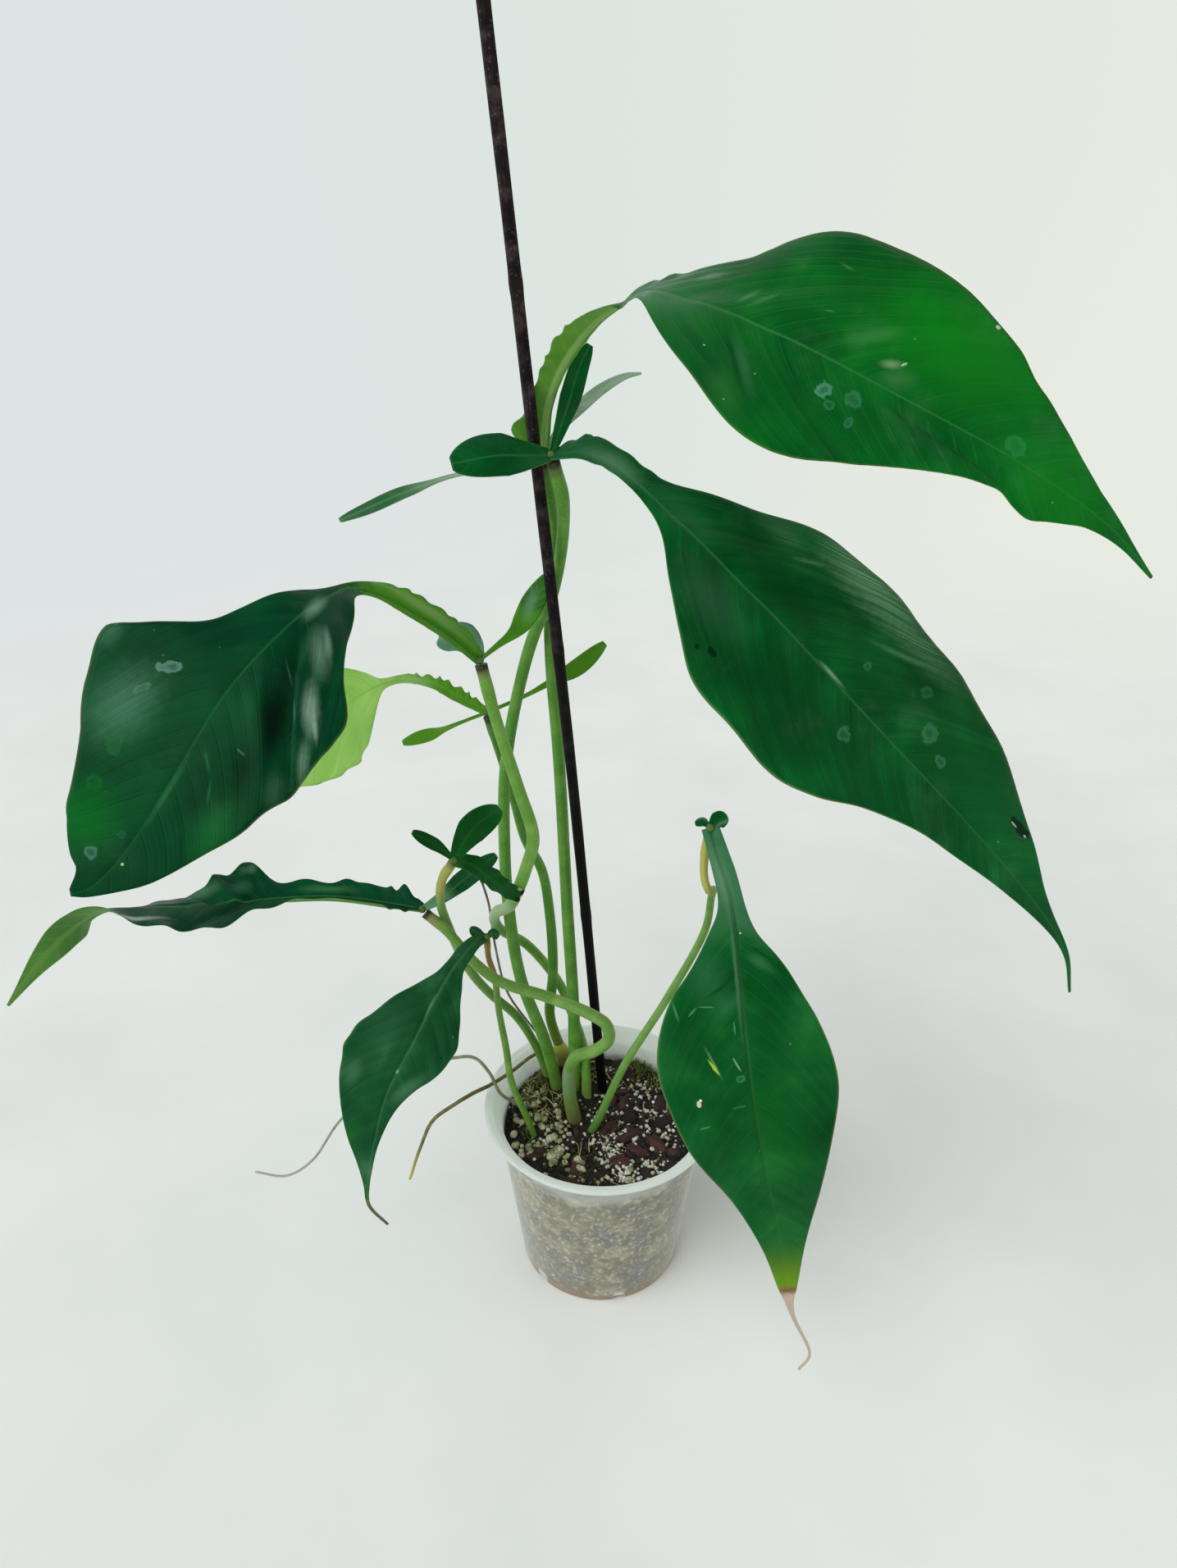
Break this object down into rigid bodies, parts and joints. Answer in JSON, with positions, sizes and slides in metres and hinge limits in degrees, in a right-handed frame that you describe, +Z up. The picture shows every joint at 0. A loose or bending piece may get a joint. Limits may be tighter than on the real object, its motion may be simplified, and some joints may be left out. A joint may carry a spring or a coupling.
{
  "type": "potted philodendron",
  "caption": "Young philodendron with long-stalked, narrow-necked drooping leaves and small basal lobes, in a tapered frosted pot with a slim plant stake.",
  "frame": {"origin": "centre of the pot's flat foot, on the surface it stands on", "axes": "+Z up, +X to the right and -Y towards the viewer of the plant's front"},
  "size_m": [0.4333, 0.2349, 0.6002],
  "materials": {
    "pot": "satin",
    "potting_mix": "matte",
    "stake": "satin",
    "crown": "satin",
    "stalk": "satin",
    "leaf_bright": "gloss",
    "leaf_deep": "gloss",
    "leaf_light": "satin",
    "root": "matte",
    "root_thread": "matte"
  },
  "bodies": {
    "root": {"pot": "pot", "potting_mix": "potting_mix", "stake": "stake", "crown_stem": "crown", "stalk_upper_right": "stalk", "stalk_middle_right": "stalk", "stalk_left": "stalk", "stalk_back": "stalk", "stalk_long_left": "stalk", "stalk_front_left": "stalk", "stalk_small_lobed": "stalk", "stalk_front_right": "stalk", "leaf_upper_right": "leaf_bright", "leaf_middle_right": "leaf_deep", "leaf_left": "leaf_deep", "leaf_back": "leaf_light", "leaf_long_left": "leaf_deep", "leaf_front_left": "leaf_deep", "leaf_small_lobed": "leaf_deep", "leaf_front_right": "leaf_deep", "root_long": "root", "root_back_left": "root", "root_thread": "root_thread"}
  },
  "joints": []
}
